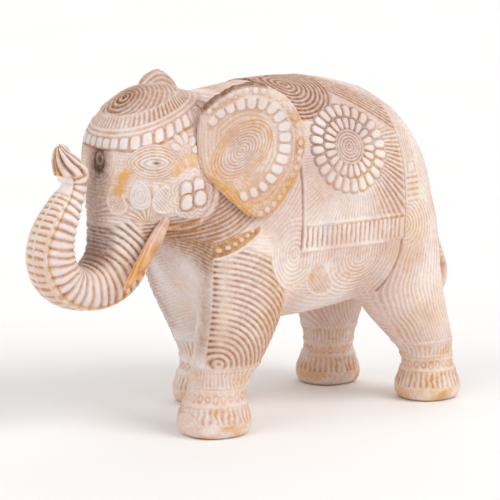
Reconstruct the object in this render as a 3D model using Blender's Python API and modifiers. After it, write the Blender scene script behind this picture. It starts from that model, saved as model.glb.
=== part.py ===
"""Carved wooden elephant, walking, with its trunk raised: a figure glued up from blocks of wood.

The figure faces -Y, its left side is +X, and it stands on Z = 0. The body, the head, the trunk and the four legs are
separate blocks, joined with dowels across flat glue lines. The ears are boards let into housings in the head, the
tusks are pegs in sockets, and the tail is a peg in the rump.

Numbers in the tables and in the functions are in design units. DESIGN_HEIGHT of them make HEIGHT.
"""

import math

import bmesh
import bpy
from mathutils import Matrix, Vector

# Driving dimensions
HEIGHT = 0.252  # floor to the top of the back, in metres
DESIGN_HEIGHT = 252.0
UNIT = HEIGHT / DESIGN_HEIGHT

GAP = 0.3  # clearance round a dowel, a peg or an ear, and the width of a glue line
LEG_SPACING = 90.0  # between the left and right feet's centres

# Glue lines: a point on the plane (y, z), and its tilt about X from facing along +Y or +Z
NECK_POINT, NECK_TILT = (-45.0, 190.0), math.radians(-13)
TRUNK_POINT, TRUNK_TILT = (-97.0, 149.0), math.radians(-20)
LEG_TOP = 67.0
TRUNK_SPAN = 66.0  # the trunk's cut is this deep, so that it misses the raised tip
TRUNK_ROOT_SECTIONS = 4  # sections of the trunk that the head block carries

# Torso, from the neck to the rump: y, height of the widest line, rise above it, drop below it, half width, power
TORSO = (
    (-104, 200, 26, 26, 24, 2.0),
    (-92, 199, 38, 36, 38, 2.0),
    (-76, 204, 39, 55, 45, 2.1),
    (-60, 204, 44, 84, 48, 2.2),
    (-42, 196, 49, 109, 53, 2.3),
    (-22, 178, 69, 105, 62, 2.3),
    (2, 160, 91, 92, 70, 2.4),
    (30, 156, 98, 87, 73, 2.4),
    (58, 154, 100, 84, 74, 2.4),
    (88, 154, 96, 80, 74, 2.4),
    (111, 154, 89, 74, 72, 2.4),
    (131, 153, 79, 66, 67, 2.3),
    (149, 152, 62, 56, 57, 2.2),
    (161, 150, 38, 36, 40, 2.0),
    (166, 149, 14, 14, 16, 2.0),
)

# Skull, from the jaw to the crown: z, front y, back y, half width, power
SKULL = (
    (139, -82, -60, 12, 2.0),
    (147, -106, -56, 24, 2.1),
    (160, -115, -54, 34, 2.3),
    (178, -118, -50, 43, 2.4),
    (196, -119, -47, 48, 2.4),
    (213, -118, -45, 47, 2.4),
    (229, -111, -42, 41, 2.3),
    (241, -100, -42, 33, 2.2),
    (249, -90, -47, 22, 2.0),
    (253, -80, -58, 9, 2.0),
)

# Trunk, from inside the head to the tip: y, z, half width, half depth in the plane of the curve
TRUNK = (
    (-92, 196, 26, 24),
    (-95, 176, 28, 26),
    (-96, 156, 27, 24.5),
    (-98, 138, 25, 23),
    (-104, 121, 24, 21.5),
    (-118, 110, 22.5, 18),
    (-137, 107.5, 21, 15.7),
    (-152, 114, 20, 17.5),
    (-159.4, 130, 18.5, 16.7),
    (-158, 147, 17.5, 15.5),
    (-150.5, 163, 15.5, 12.5),
    (-141.5, 176, 13, 10),
    (-137, 186, 10.5, 9.5),
    (-139.5, 195, 13, 12.5),
    (-144.5, 204, 12.5, 10.5),
    (-149.5, 212, 7, 6),
    (-151.5, 217, 2.5, 2.5),
)

# Left tusk, from inside the head to the tip: x, y, z, half width, half depth
TUSK = (
    (28, -74, 170, 4, 4),
    (29, -78, 161, 4, 4),
    (30, -83, 152, 5, 6),
    (31, -92, 140, 5, 7),
    (32, -103, 127, 4.5, 6),
    (33, -113, 117, 3.5, 4.5),
    (34, -121, 110, 2, 2.5),
)

# Tail, from inside the rump to the tuft's end: x, y, z, radius
TAIL = (
    (0, 150, 180, 6),
    (0, 164, 175, 6),
    (2, 177, 163, 6.5),
    (4, 184, 146, 6),
    (6, 188, 127, 5.5),
    (8, 192, 109, 6),
    (10, 195, 94, 8.5),
    (11, 195, 80, 8),
    (11, 193, 70, 3),
)

# Legs: the foot's centre y, then from the sole up: z, inward offset, y offset, half width, half depth
FRONT_FOOT = ((0, 0, 0, 26, 27), (7, 0, 0, 27.5, 28.5), (17, 0, 0, 27, 28), (27, 0, 0, 22, 22.3))
REAR_FOOT = ((0, 0, 0, 24, 25), (7, 0, 0, 25.5, 26), (16, 0, 0, 25, 25.5), (26, 0, 0, 20, 20.2))
LEGS = {
    "leg_front_left": (
        -48,
        FRONT_FOOT
        + (
            (37, 0, 4, 20.5, 22.8),
            (52, 0, 12, 22.5, 28.2),
            (70, 1, 19, 25, 32),
            (92, 3, 28, 28, 36),
            (118, 6, 32, 30, 40),
            (148, 10, 34, 28.5, 42),
            (178, 14, 34, 24, 35),
            (196, 16, 34, 14, 20),
        ),
    ),
    "leg_front_right": (
        11,
        FRONT_FOOT
        + (
            (37, 0, 0, 20.5, 21.5),
            (52, 0, -2, 23, 27),
            (70, 1, -7, 25, 32),
            (92, 3, -15, 28, 38),
            (118, 6, -21, 30, 42),
            (148, 10, -23, 28.5, 42),
            (178, 14, -25, 24, 35),
            (196, 16, -25, 14, 20),
        ),
    ),
    "leg_rear_left": (
        155,
        REAR_FOOT
        + (
            (36, 0, -1, 19, 20.5),
            (50, 0, -8, 21.5, 28),
            (68, 1, -21, 25, 35),
            (90, 3, -30, 29, 40),
            (116, 6, -33, 32, 40),
            (146, 8, -33, 33, 41),
            (176, 12, -37, 28, 34),
            (196, 16, -39, 16, 22),
        ),
    ),
    "leg_rear_right": (
        128,
        REAR_FOOT
        + (
            (36, 0, 1, 19, 19.8),
            (50, 0, 1, 21.5, 25),
            (68, 1, 1, 25, 31),
            (90, 3, 0, 29, 36),
            (116, 6, -2, 32, 40),
            (146, 8, -4, 33, 41),
            (176, 12, -8, 28, 34),
            (196, 16, -10, 16, 22),
        ),
    ),
}

# Left ear: the root's middle (x, y, z), the angle it stands out from the body, and its outline from the root,
# along the board and up
EAR_ROOT = (45.0, -56.2, 212.0)
EAR_FLARE = math.radians(25)
EAR_THICKNESS = 8.0
EAR_DISH = 4.0
EAR_MIDDLE = (36.0, -4.0)
EAR_OUTLINE = (
    (-7, 24),
    (4, 34),
    (20, 43),
    (38, 46),
    (56, 40),
    (69, 27),
    (76, 8),
    (75, -14),
    (66, -34),
    (53, -52),
    (38, -59),
    (24, -50),
    (12, -35),
    (-5, -22),
    (-9, 0),
)

WHITEWASH = (0.86, 0.73, 0.66, 1.0)
HONEY_WOOD = (0.78, 0.52, 0.30, 1.0)
BEECH = (0.72, 0.53, 0.36, 1.0)


def clear_scene():
    for item in list(bpy.data.objects):
        bpy.data.objects.remove(item, do_unlink=True)


def new_collection(name):
    group = bpy.data.collections.new(name)
    bpy.context.scene.collection.children.link(group)
    return group


def new_material(name, colour, roughness):
    made = bpy.data.materials.new(name)
    made.use_nodes = True
    shader = made.node_tree.nodes["Principled BSDF"]
    shader.inputs["Base Color"].default_value = colour
    shader.inputs["Roughness"].default_value = roughness
    shader.inputs["Metallic"].default_value = 0.0
    return made


def new_object(name, shape, group):
    """Turn a bmesh into an object in a collection."""
    mesh = bpy.data.meshes.new(name)
    bmesh.ops.recalc_face_normals(shape, faces=shape.faces)
    shape.to_mesh(mesh)
    shape.free()
    mesh.shade_smooth()
    made = bpy.data.objects.new(name, mesh)
    group.objects.link(made)
    return made


def as_cutter(item):
    item.hide_render = True
    item.display_type = "WIRE"
    return item


def boolean(target, operation, tool):
    modifier = target.modifiers.new(operation.lower(), "BOOLEAN")
    modifier.operation = operation
    modifier.solver = "EXACT"
    modifier.object = tool


def subdivide(item):
    modifier = item.modifiers.new("soft_form", "SUBSURF")
    modifier.levels = 1
    modifier.render_levels = 1


def signed_power(value, power):
    return math.copysign(abs(value) ** power, value)


def ring(centre, across, upward, half_across, half_up, half_down, power=2.0, count=16):
    """Points round a superellipse whose upper and lower halves may differ."""
    points = []
    for i in range(count):
        angle = 2 * math.pi * (i + 0.5) / count
        side = signed_power(math.cos(angle), 2 / power)
        rise = signed_power(math.sin(angle), 2 / power)
        half_rise = half_up if rise > 0 else half_down
        points.append(centre + across * (half_across * side) + upward * (half_rise * rise))
    return points


def loft(name, rings, group, flat_start=False):
    """A closed soft body through rings of equal point counts."""
    shape = bmesh.new()
    rows = [[shape.verts.new(p * UNIT) for p in points] for points in rings]
    count = len(rows[0])
    for lower, upper in zip(rows, rows[1:]):
        for i in range(count):
            j = (i + 1) % count
            shape.faces.new((lower[i], lower[j], upper[j], upper[i]))
    start = shape.faces.new(rows[0])
    shape.faces.new(rows[-1])
    if flat_start:
        crease = shape.edges.layers.float.new("crease_edge")
        for edge in start.edges:
            edge[crease] = 1.0
    made = new_object(name, shape, group)
    subdivide(made)
    return made


def torso_form(name, group):
    x_axis, z_axis = Vector((1, 0, 0)), Vector((0, 0, 1))
    rings = [ring(Vector((0, y, z)), x_axis, z_axis, w, up, down, p) for y, z, up, down, w, p in TORSO]
    return loft(name, rings, group)


def skull_form(name, group):
    x_axis, y_axis = Vector((1, 0, 0)), Vector((0, 1, 0))
    rings = []
    for z, front, back, half_width, power in SKULL:
        half_depth = (back - front) / 2
        middle = Vector((0, (front + back) / 2, z))
        rings.append(ring(middle, x_axis, y_axis, half_width, half_depth, half_depth, power))
    return loft(name, rings, group)


def leg_form(name, group):
    foot_y, sections = LEGS[name.removesuffix("_form")]
    side = 1 if "left" in name else -1
    x_axis, y_axis = Vector((1, 0, 0)), Vector((0, 1, 0))
    rings = []
    for z, inward, forward, half_width, half_depth in sections:
        middle = Vector((side * (LEG_SPACING / 2 - inward), foot_y + forward, z))
        rings.append(ring(middle, x_axis, y_axis, half_width, half_depth, half_depth, 2.2, 12))
    return loft(name, rings, group, flat_start=True)


def swept(name, path, sizes, group, grow=0.0, power=2.0, count=8):
    """A tapering limb along a path, with a half width across X and a half depth in the curve's plane."""
    path = [Vector(p) for p in path]
    rings = []
    for i, (point, (half_width, half_depth)) in enumerate(zip(path, sizes)):
        before, after = path[max(i - 1, 0)], path[min(i + 1, len(path) - 1)]
        along = (after - before).normalized()
        across = (Vector((1, 0, 0)) - along * along.x).normalized()
        end = {0: -grow, len(path) - 1: grow}.get(i, 0.0)
        deep = half_depth + grow
        middle = point + along * end
        rings.append(ring(middle, across, along.cross(across), half_width + grow, deep, deep, power, count))
    return loft(name, rings, group)


def trunk_form(name, group, sections=TRUNK):
    path = [(0, y, z) for y, z, _, _ in sections]
    return swept(name, path, [(w, d) for _, _, w, d in sections], group, power=2.8, count=16)


def tusk_form(name, side, group, grow=0.0):
    path = [(side * x, y, z) for x, y, z, _, _ in TUSK]
    return swept(name, path, [(w, d) for _, _, _, w, d in TUSK], group, grow)


def tail_form(name, group, grow=0.0):
    path = [(x, y, z) for x, y, z, _ in TAIL]
    return swept(name, path, [(r, r) for _, _, _, r in TAIL], group, grow)


def ear_axes(side):
    along = Vector((side * math.sin(EAR_FLARE), math.cos(EAR_FLARE), 0))
    outward = Vector((side * math.cos(EAR_FLARE), -math.sin(EAR_FLARE), 0))
    return along, outward


def ear_point(side, along_board, up, out=0.0):
    along, outward = ear_axes(side)
    root = Vector((side * EAR_ROOT[0], EAR_ROOT[1], EAR_ROOT[2]))
    return root + along * along_board + Vector((0, 0, up)) + outward * out


def ear_form(name, side, group, grow=0.0):
    """A dished board: rings of the outline, shrunk towards its middle, made solid."""
    shape = bmesh.new()
    middle = Vector(EAR_MIDDLE)
    rows = []
    for share in (1.0, 0.72, 0.4):
        row = []
        for corner in EAR_OUTLINE:
            spoke = Vector(corner) - middle
            place = middle + spoke * share + spoke.normalized() * (grow if share == 1.0 else 0.0)
            dish = EAR_DISH * (share**2 - 0.5)
            row.append(shape.verts.new(ear_point(side, place.x, place.y, dish) * UNIT))
        rows.append(row)
    count = len(EAR_OUTLINE)
    for outer, inner in zip(rows, rows[1:]):
        for i in range(count):
            j = (i + 1) % count
            shape.faces.new((outer[i], outer[j], inner[j], inner[i]))
    shape.faces.new(rows[-1])
    made = new_object(name, shape, group)
    shell = made.modifiers.new("board", "SOLIDIFY")
    shell.thickness = (EAR_THICKNESS + 2 * grow) * UNIT
    shell.offset = 0.0
    subdivide(made)
    return made


def block_cutter(name, point, tilt, facing, side, group, span=500.0):
    """A big block whose face lies on a glue line, GAP / 2 back from it. facing is Y or Z, side is +1 or -1."""
    size = 500.0
    shape = bmesh.new()
    bmesh.ops.create_cube(shape, size=size * UNIT)
    bmesh.ops.scale(shape, vec=(1, span / size, 1), verts=shape.verts)
    made = new_object(name, shape, group)
    turn = Matrix.Rotation(tilt, 4, "X")
    direction = turn @ (Vector((0, 1, 0)) if facing == "Y" else Vector((0, 0, 1)))
    centre = Vector((0, *point)) + direction * side * (size - GAP) / 2
    made.matrix_world = Matrix.Translation(centre * UNIT) @ turn
    return as_cutter(made)


def cylinder(name, centre, axis, radius, length, group):
    shape = bmesh.new()
    bmesh.ops.create_cone(
        shape,
        cap_ends=True,
        segments=16,
        radius1=radius * UNIT,
        radius2=radius * UNIT,
        depth=length * UNIT,
    )
    made = new_object(name, shape, group)
    made.data.set_sharp_from_angle(angle=math.radians(40))
    turn = axis.to_track_quat("Z", "Y").to_matrix().to_4x4()
    made.matrix_world = Matrix.Translation(centre * UNIT) @ turn
    return made


def dowel(name, centre, axis, radius, length, joined, groups):
    """A dowel, and its hole through the two pieces that it joins."""
    parts, cutters, finish = groups
    pin = cylinder(name, centre, axis, radius, length, parts)
    pin.data.materials.append(finish)
    hole = as_cutter(cylinder(name + "_hole", centre, axis, radius + GAP, length + 2 * GAP, cutters))
    for piece in joined:
        boolean(piece, "DIFFERENCE", hole)


def build():
    clear_scene()
    parts = new_collection("carved_elephant")
    cutters = new_collection("cutters")
    whitewash = new_material("whitewashed_wood", WHITEWASH, 0.75)
    honey = new_material("honey_wood", HONEY_WOOD, 0.65)
    beech = new_material("beech_dowel", BEECH, 0.6)
    groups = (parts, cutters, beech)

    torso_guide = as_cutter(torso_form("torso_form", cutters))
    trunk_root = as_cutter(trunk_form("trunk_root_form", cutters, TRUNK[:TRUNK_ROOT_SECTIONS]))
    neck_front = block_cutter("neck_front_block", NECK_POINT, NECK_TILT, "Y", -1, cutters)
    neck_back = block_cutter("neck_back_block", NECK_POINT, NECK_TILT, "Y", 1, cutters)
    trunk_above = block_cutter("trunk_above_block", TRUNK_POINT, TRUNK_TILT, "Z", 1, cutters, TRUNK_SPAN)
    trunk_below = block_cutter("trunk_below_block", TRUNK_POINT, TRUNK_TILT, "Z", -1, cutters)
    legs_above = block_cutter("legs_above_block", (0, LEG_TOP), 0.0, "Z", 1, cutters)
    legs_below = block_cutter("legs_below_block", (0, LEG_TOP), 0.0, "Z", -1, cutters)

    torso = torso_form("torso", parts)
    for name in LEGS:
        boolean(torso, "UNION", as_cutter(leg_form(name + "_form", cutters)))
    boolean(torso, "DIFFERENCE", neck_front)
    boolean(torso, "DIFFERENCE", legs_below)

    head = skull_form("head", parts)
    boolean(head, "UNION", trunk_root)
    boolean(head, "DIFFERENCE", trunk_below)
    boolean(head, "UNION", torso_guide)
    boolean(head, "DIFFERENCE", neck_back)

    trunk = trunk_form("trunk", parts)
    boolean(trunk, "DIFFERENCE", trunk_above)

    legs = {}
    for name in LEGS:
        legs[name] = leg_form(name, parts)
        boolean(legs[name], "DIFFERENCE", legs_above)

    tail = tail_form("tail", parts)
    boolean(torso, "DIFFERENCE", as_cutter(tail_form("tail_socket", cutters, GAP)))

    ears, tusks = {}, {}
    for word, side in (("left", 1), ("right", -1)):
        ears[word] = ear_form("ear_" + word, side, parts)
        housing = as_cutter(ear_form(f"ear_{word}_housing", side, cutters, GAP))
        tusks[word] = tusk_form("tusk_" + word, side, parts)
        socket = as_cutter(tusk_form(f"tusk_{word}_socket", side, cutters, GAP))
        boolean(head, "DIFFERENCE", housing)
        boolean(torso, "DIFFERENCE", housing)
        boolean(head, "DIFFERENCE", socket)
        boolean(trunk, "DIFFERENCE", socket)

    neck_axis = Matrix.Rotation(NECK_TILT, 3, "X") @ Vector((0, 1, 0))
    neck_up = Matrix.Rotation(NECK_TILT, 3, "X") @ Vector((0, 0, 1))
    neck_middle = Vector((0, *NECK_POINT))
    for word, rise in (("upper", 28), ("lower", -32)):
        dowel(f"neck_dowel_{word}", neck_middle + neck_up * rise, neck_axis, 6, 44, (head, torso), groups)

    trunk_axis = Matrix.Rotation(TRUNK_TILT, 3, "X") @ Vector((0, 0, 1))
    dowel("trunk_dowel", Vector((0, *TRUNK_POINT)), trunk_axis, 5, 34, (head, trunk), groups)

    for word, side in (("left", 1), ("right", -1)):
        outward = ear_axes(side)[1]
        for place, along_board, up in (("upper", -1, 13), ("lower", -1, -9)):
            centre = ear_point(side, along_board, up, -4.5)
            dowel(f"ear_{word}_dowel_{place}", centre, outward, 2.5, 14, (ears[word], head), groups)

    for name, leg in legs.items():
        foot_y, sections = LEGS[name]
        side = 1 if "left" in name else -1
        _, inward, forward, _, _ = min(sections, key=lambda section: abs(section[0] - LEG_TOP))
        for place, offset in (("front", -9), ("back", 9)):
            centre = Vector((side * (LEG_SPACING / 2 - inward), foot_y + forward + offset, LEG_TOP))
            dowel(f"{name}_dowel_{place}", centre, Vector((0, 0, 1)), 4, 28, (leg, torso), groups)

    for piece in (torso, head, trunk, tail, *legs.values(), *ears.values()):
        piece.data.materials.append(whitewash)
    for piece in tusks.values():
        piece.data.materials.append(honey)
    centre_on_floor(parts, cutters)


def centre_on_floor(parts, cutters):
    """Move everything so that the origin is the middle of the figure's box, on the floor."""
    bpy.context.view_layer.update()
    depsgraph = bpy.context.evaluated_depsgraph_get()
    corners = []
    for item in parts.objects:
        finished = item.evaluated_get(depsgraph)
        corners += [finished.matrix_world @ Vector(corner) for corner in finished.bound_box]
    low = Vector([min(corner[axis] for corner in corners) for axis in range(3)])
    high = Vector([max(corner[axis] for corner in corners) for axis in range(3)])
    shift = Vector((-(low.x + high.x) / 2, -(low.y + high.y) / 2, -low.z))
    for item in (*parts.objects, *cutters.objects):
        item.location += shift


build()
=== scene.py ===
"""Looks of the carved elephant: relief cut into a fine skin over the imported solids, and a rubbed white wash.

The solids are joined into one soft skin, so that the carving runs on across the glue lines. The relief is
worked out for each point of the skin, in millimetres, and the skin is then sawn apart again at the same glue
lines.
"""

import math

import bmesh
import bpy
import numpy as np
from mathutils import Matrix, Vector


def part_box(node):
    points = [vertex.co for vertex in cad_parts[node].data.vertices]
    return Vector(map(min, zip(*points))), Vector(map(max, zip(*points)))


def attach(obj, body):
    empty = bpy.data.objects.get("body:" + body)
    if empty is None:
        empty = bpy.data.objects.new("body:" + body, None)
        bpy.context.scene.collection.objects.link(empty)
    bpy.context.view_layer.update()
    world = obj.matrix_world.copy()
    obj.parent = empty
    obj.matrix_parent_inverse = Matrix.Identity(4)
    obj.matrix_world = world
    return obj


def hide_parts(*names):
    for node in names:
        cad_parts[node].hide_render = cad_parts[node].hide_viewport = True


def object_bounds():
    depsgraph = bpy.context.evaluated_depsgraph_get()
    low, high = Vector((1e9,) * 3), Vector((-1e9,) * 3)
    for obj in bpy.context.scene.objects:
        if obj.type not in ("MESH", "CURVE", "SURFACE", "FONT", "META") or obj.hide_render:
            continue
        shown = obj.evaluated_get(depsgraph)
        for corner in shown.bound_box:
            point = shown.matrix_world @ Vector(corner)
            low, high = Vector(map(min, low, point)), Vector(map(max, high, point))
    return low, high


MM = 0.001

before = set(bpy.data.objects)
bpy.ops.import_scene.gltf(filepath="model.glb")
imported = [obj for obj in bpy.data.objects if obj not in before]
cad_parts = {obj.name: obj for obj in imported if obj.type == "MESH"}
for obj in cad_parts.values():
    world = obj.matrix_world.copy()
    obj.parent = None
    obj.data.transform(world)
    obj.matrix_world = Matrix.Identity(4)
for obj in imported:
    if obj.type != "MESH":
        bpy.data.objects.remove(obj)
cad_low, cad_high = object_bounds()

ENDS = ("front", "rear")
BODY_NODES = ("torso", "head", "trunk", *(f"leg_{end}_{hand}" for end in ENDS for hand in ("left", "right")))
MARKS = ("cut", "gold", "brown", "white")  # what the relief tells the material


# --- meshes and numbers ---


def read(items, key, size, kind=np.float32):
    """One property of every item of a mesh, in rows of the given size."""
    flat = np.empty(len(items) * size, kind)
    items.foreach_get(key, flat)
    return flat.reshape(-1, size)


def points_of(mesh):
    """A mesh's vertices as an array in millimetres."""
    return read(mesh.vertices, "co", 3, float) / MM


def put_points(mesh, points):
    mesh.vertices.foreach_set("co", (points * MM).ravel())
    mesh.update()


def normals_of(mesh):
    return read(mesh.vertex_normals, "vector", 3).astype(float)


def edges_of(mesh):
    return read(mesh.edges, "vertices", 2, np.int32)


def put_values(mesh, name, values):
    mesh.attributes.new(name, "FLOAT", "POINT").data.foreach_set("value", values.astype(np.float32))


def finished(item):
    """The mesh of an object with its modifiers applied."""
    depsgraph = bpy.context.evaluated_depsgraph_get()
    return bpy.data.meshes.new_from_object(item.evaluated_get(depsgraph))


def new_object(name, data):
    made = bpy.data.objects.new(name, data)
    bpy.context.scene.collection.objects.link(made)
    return made


def remove(item):
    mesh = item.data
    bpy.data.objects.remove(item)
    bpy.data.meshes.remove(mesh)


def smoothed(values, edges, count, times, share=0.5):
    """Values averaged with their neighbours' over and over."""
    degree = np.bincount(edges.ravel(), minlength=count).astype(float)[:, None]
    for _ in range(times):
        total = np.empty_like(values)
        for axis in range(values.shape[1]):
            total[:, axis] = np.bincount(edges[:, 0], values[edges[:, 1], axis], count)
            total[:, axis] += np.bincount(edges[:, 1], values[edges[:, 0], axis], count)
        values = values + share * (total / degree - values)
    return values


def inflated(item, by):
    mesh = item.data
    put_points(mesh, points_of(mesh) + normals_of(mesh) * by)


def largest_shell(mesh):
    """Drop the small shells that the skin encloses, such as the dowel holes."""
    shape = bmesh.new()
    shape.from_mesh(mesh)
    shape.verts.ensure_lookup_table()
    seen = np.zeros(len(shape.verts), bool)
    shells = []
    for start in shape.verts:
        if seen[start.index]:
            continue
        seen[start.index] = True
        stack, shell = [start], []
        while stack:
            vert = stack.pop()
            shell.append(vert)
            for edge in vert.link_edges:
                other = edge.other_vert(vert)
                if not seen[other.index]:
                    seen[other.index] = True
                    stack.append(other)
        shells.append(shell)
    keep = max(shells, key=len)
    for shell in shells:
        if shell is not keep:
            bmesh.ops.delete(shape, geom=shell, context="VERTS")
    shape.to_mesh(mesh)
    shape.free()


def skin(name, nodes, voxel, swell, times, levels):
    """One soft closed skin over several CAD nodes: voxel and swell are in millimetres."""
    shape = bmesh.new()
    for node in nodes:
        part = new_object(name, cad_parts[node].data.copy())
        inflated(part, swell)
        shape.from_mesh(part.data)
        remove(part)
    mesh = bpy.data.meshes.new(name)
    bmesh.ops.remove_doubles(shape, verts=shape.verts, dist=1e-6)
    shape.to_mesh(mesh)
    shape.free()
    item = new_object(name, mesh)
    remesh = item.modifiers.new("skin", "REMESH")
    remesh.mode = "VOXEL"
    remesh.voxel_size = voxel * MM
    rough = finished(item)
    remove(item)
    largest_shell(rough)
    points = points_of(rough)
    put_points(rough, smoothed(points, edges_of(rough), len(points), times))
    item = new_object(name, rough)
    fine = item.modifiers.new("fine", "SUBSURF")
    fine.levels = fine.render_levels = levels
    mesh = finished(item)
    remove(item)
    return new_object(name, mesh)


# --- carving vocabulary ---


def fade(value, start, end):
    """0 before start, 1 after end, with a soft step between."""
    share = np.clip((value - start) / (end - start), 0, 1)
    return share * share * (3 - 2 * share)


def until(value, start, end):
    """1 before start, 0 after end."""
    return 1 - fade(value, start, end)


def within(value, low, high, soft=0.5):
    """1 between low and high, 0 outside."""
    return fade(value, low - soft, low + soft) * until(value, high - soft, high + soft)


def furrow(turns, width=0.2):
    """A groove at each whole number: 1 in its bottom, 0 on the ridges."""
    away = np.abs(turns - np.round(turns))
    return np.exp(-((away / width) ** 2))


def threads(turns, width=0.24):
    """Thin raised lines at the whole numbers on a lowered ground: 0 on the lines, 1 between them."""
    return 1 - furrow(turns, width)


def line(distance, width):
    """1 where the distance is 0, with soft sides."""
    return np.exp(-((distance / width) ** 2))


def wave(points, length, seed):
    """A slow, smooth, seeded wander between -1 and 1."""
    draw = np.random.default_rng(seed)
    total = np.zeros(len(points))
    for _ in range(4):
        direction = draw.normal(size=3)
        direction /= np.linalg.norm(direction)
        turns = points @ direction / (length * draw.uniform(0.7, 1.5)) + draw.uniform()
        total += np.sin(2 * np.pi * turns)
    return total / 4


class Local:
    """Coordinates on the tangent plane at a point of the skin: a along, b up, r and turn round the point."""

    def __init__(self, points, centre, normal, up=(0, 0, 1)):
        normal = np.array(normal, float)
        normal /= np.linalg.norm(normal)
        along = np.cross(up, normal)
        along /= np.linalg.norm(along)
        rise = np.cross(normal, along)
        offset = points - np.array(centre, float)
        self.a = offset @ along
        self.b = offset @ rise
        self.r = np.sqrt((offset**2).sum(1))
        self.turn = np.arctan2(self.b, self.a)


class Relief:
    """What the chisel and the brush have done at each point of a skin, and where shade is painted on it."""

    def __init__(self, points, normals):
        self.points = points
        self.normals = normals
        count = len(points)
        self.height = np.zeros(count)  # millimetres above the plain form
        self.cut = np.zeros(count)  # 1 in the bottom of a groove
        self.gold = np.zeros(count)  # ochre rubbed into the surface
        self.brown = np.zeros(count)  # dark brown: stain left in hollows, and painted shade
        self.white = np.zeros(count)  # thick bluish wash on raised petals

    def places(self):
        """The points, and their x, y and z."""
        return self.points, *self.points.T

    def over(self, mask, cut=0.0, depth=0.8, rise=0.0, gold=None, brown=None, white=0.0):
        """Lay a pattern over what is there."""
        self.height = self.height * (1 - mask) + mask * (rise - depth * cut)
        self.cut = self.cut * (1 - mask) + mask * cut
        self.white = self.white * (1 - mask) + mask * white
        if gold is not None:
            self.gold = self.gold * (1 - mask) + mask * gold
        if brown is not None:
            self.brown = self.brown * (1 - mask) + mask * brown

    def groove(self, cut, depth=0.8):
        """Cut into what is there."""
        self.height = self.height - depth * cut
        self.cut = np.maximum(self.cut, cut)

    def raised(self, shape, rise=0.8):
        """A raised line: it stands above what is there and has no groove of its own."""
        self.height = self.height * (1 - shape) + rise * shape
        self.cut = self.cut * (1 - shape)

    def tint(self, mask, gold=0.0, brown=0.0):
        self.gold = np.clip(self.gold + mask * gold, 0, 1)
        self.brown = np.clip(self.brown + mask * brown, 0, 1)


def petals(relief, local, count, middle, half, gold, brown, turn=0.0):
    """A ring of separate rounded petals, wider towards their tips, each in a stained hollow of its own."""
    share = (local.turn / (2 * np.pi) + turn) * count
    across = np.abs(share - np.round(share))
    radial = np.abs(local.r - middle)
    hollow = (across / 0.53) ** 3 + (radial / (half + 1.0)) ** 3
    shape = (across / 0.4) ** 3 + (radial / half) ** 3
    relief.over(fade(-hollow, -1.2, -0.9), 0.7, 1.2, 0, gold, brown)
    relief.over(fade(-shape, -1.15, -0.5), 0, 0, 0.9, 0.35 * gold, 0.1 * brown, 0.05)


def lens(local, start, reach, height, shift):
    """1 on the edge of an almond shape, 0 at its centre."""
    return ((local.a - shift) / reach) ** 2 + np.abs((local.b - start) / height) ** 1.3


def along_path(points, path):
    """The nearest place on a path: its distance, its length from the start, and the side it is seen from."""
    path = np.array(path, float)
    size = points.shape[1]
    best = np.full(len(points), np.inf)
    reach = np.zeros(len(points))
    side = np.zeros(len(points))
    done = 0.0
    for start, end in zip(path[:-1], path[1:]):
        step = end - start
        length = np.linalg.norm(step)
        offset = points - start
        share = np.clip(offset @ step / length**2, 0, 1)
        gap = offset - share[:, None] * step
        away = np.sqrt((gap**2).sum(1))
        near = away < best
        best = np.where(near, away, best)
        reach = np.where(near, done + share * length, reach)
        if size == 2:
            side = np.where(near, np.sign(step[0] * offset[:, 1] - step[1] * offset[:, 0]), side)
        done += length
    return best, reach, side


def rounded(path, steps=6):
    """A path through the same points with its corners rounded off."""
    path = np.array(path, float)
    before = np.vstack([2 * path[0] - path[1], path[:-1]])
    after = np.vstack([path[1:], 2 * path[-1] - path[-2]])
    made = []
    for index in range(len(path) - 1):
        start, end = path[index], path[index + 1]
        lead, trail = (end - before[index]) / 2, (after[index + 1] - start) / 2
        for share in np.arange(steps) / steps:
            squared, cubed = share**2, share**3
            made.append(
                (2 * cubed - 3 * squared + 1) * start
                + (cubed - 2 * squared + share) * lead
                + (3 * squared - 2 * cubed) * end
                + (cubed - squared) * trail
            )
    made.append(path[-1])
    return np.array(made)


# --- relief of the torso and legs ---

NECK_CENTRE = (-105, 234.5)  # y, z of the point that the neck's lines run round
BEAD_BAND = (103.5, 112.0)
FOOT_CENTRES = {"front_left": -62.7, "front_right": -3.7, "rear_left": 140.3, "rear_right": 113.3}
FOOT_X = 45.0
ANKLES = {"front": (49.5, 35.4, 22.3), "rear": (45.0, 33.4, 22.7)}  # the levels of the raised rings
THIGH_FRONT = [(112, 44), (98, 60), (86, 75), (79, 90), (82, 106), (92, 128)]  # y, z
THIGH_BACK = [(162, 44), (158, 60), (154, 75), (151, 90), (150, 106), (150, 128)]
FLANK = [(94, 130), (92, 118), (86, 104), (79, 91)]
BLANKET = (-0.5, 96.0)
BLANKET_FOOT = 131.0
FRINGE_TOP = 150.0
ROSETTE = ((65.2, 45.7, 203.5), (0.94, 0.01, 0.34))


def plain_lines(relief):
    """Fine lines that wander across everything that has no pattern of its own."""
    points = relief.points
    level = points[:, 2] + 3 * wave(points, 50, 3) + 0.12 * points[:, 1]
    cut = 0.6 * furrow(level / 2.7, 0.26)
    relief.over(1, cut, 0.6, 0.0, gold=0.12 + 0.1 * wave(points, 40, 8))


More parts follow.
